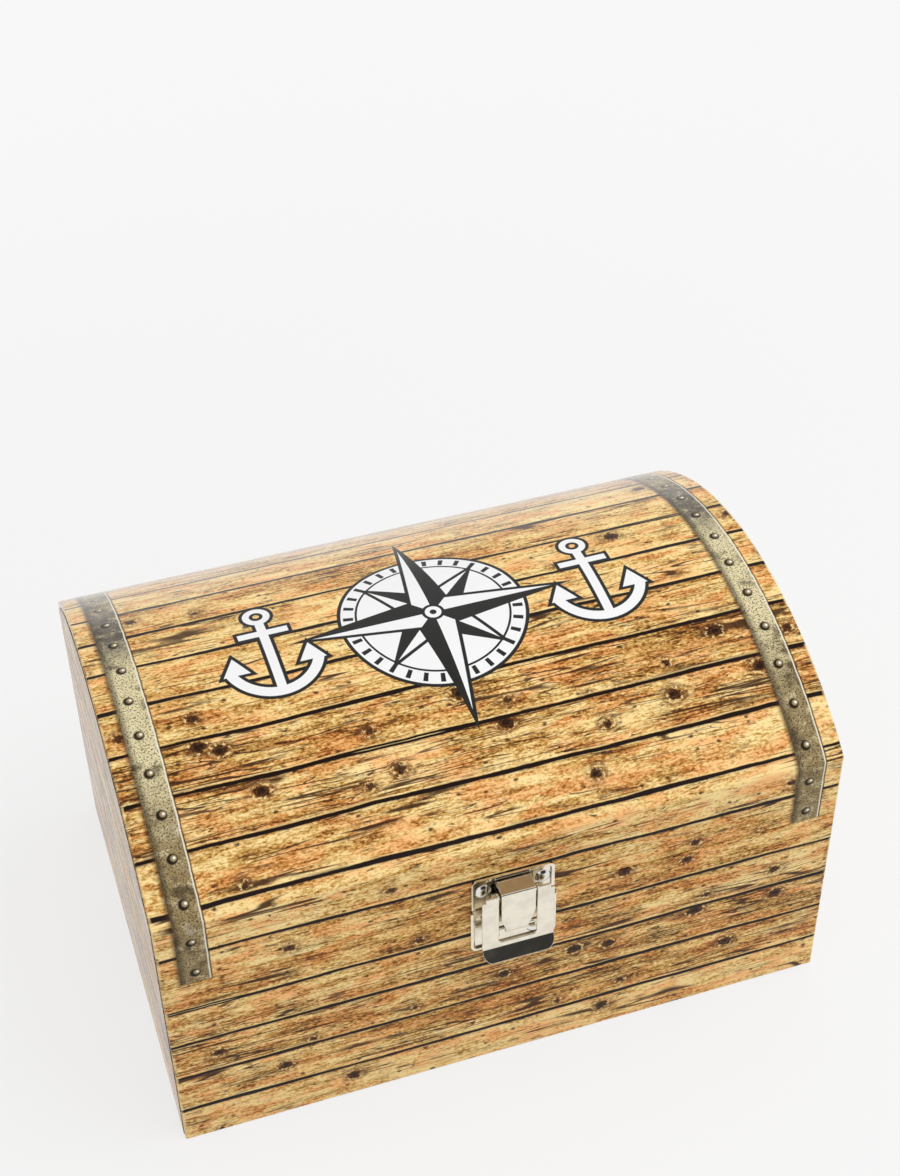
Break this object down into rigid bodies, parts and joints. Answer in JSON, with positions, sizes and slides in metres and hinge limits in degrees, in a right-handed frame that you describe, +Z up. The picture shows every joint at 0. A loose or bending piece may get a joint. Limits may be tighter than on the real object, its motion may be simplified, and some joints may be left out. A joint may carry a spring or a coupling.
{
  "type": "treasure chest box",
  "caption": "Paper-covered board box shaped like a treasure chest, with a domed lid on riveted hinges and a nickel-plated draw latch at the front.",
  "frame": {"origin": "middle of the underside, on the surface the chest stands on", "axes": "+X along the width, to the right seen from the front; -Y out of the front with the latch; +Z up"},
  "size_m": [0.3, 0.2258, 0.178],
  "materials": {
    "greyboard": "uncoated grey board",
    "printed_paper": "gloss-laminated paper printed with wood planks",
    "lining_paper": "plain uncoated paper",
    "nickel_plate": "nickel-plated pressed steel"
  },
  "bodies": {
    "base": {"base_bottom_board": "greyboard", "base_front_board": "greyboard", "base_back_board": "greyboard", "base_left_board": "greyboard", "base_right_board": "greyboard", "base_front_wrap": "printed_paper", "base_back_wrap": "printed_paper", "base_left_paper": "printed_paper", "base_right_paper": "printed_paper", "base_bottom_paper": "lining_paper", "base_lining": "lining_paper", "latch_plate": "nickel_plate", "latch_plate_rivets": "nickel_plate", "lever_pivots": "nickel_plate", "hinge_left_base_leaf": "nickel_plate", "hinge_right_base_leaf": "nickel_plate", "hinge_left_pin": "nickel_plate", "hinge_right_pin": "nickel_plate", "hinge_base_rivets": "nickel_plate"},
    "lid": {"lid_shell_board": "greyboard", "lid_left_board": "greyboard", "lid_right_board": "greyboard", "lid_wrap": "printed_paper", "lid_left_paper": "printed_paper", "lid_right_paper": "printed_paper", "lid_lining": "lining_paper", "strike_plate": "nickel_plate", "strike_rivets": "nickel_plate", "hinge_left_lid_leaf": "nickel_plate", "hinge_right_lid_leaf": "nickel_plate", "hinge_lid_rivets": "nickel_plate"},
    "lever": {"latch_lever": "nickel_plate", "tongue_pin": "nickel_plate"},
    "tongue": {"latch_tongue": "nickel_plate"}
  },
  "joints": [
    {"name": "lid_hinge", "type": "hinge", "parent": "base", "child": "lid", "pos_m": [0, 0.1072, 0.1032], "axis": [-1, 0, 0], "range_deg": [0, 180]},
    {"name": "lever_pivot", "type": "hinge", "parent": "base", "child": "lever", "pos_m": [0, -0.1106, 0.1139], "axis": [-1, 0, 0], "range_deg": [0, 90]},
    {"name": "tongue_pivot", "type": "hinge", "parent": "lever", "child": "tongue", "pos_m": [0, -0.11, 0.0925], "axis": [-1, 0, 0], "range_deg": [-18, 0]}
  ],
  "couplings": [
    {"joint": "tongue_pivot", "follows": "lever_pivot", "ratio": -0.2}
  ]
}
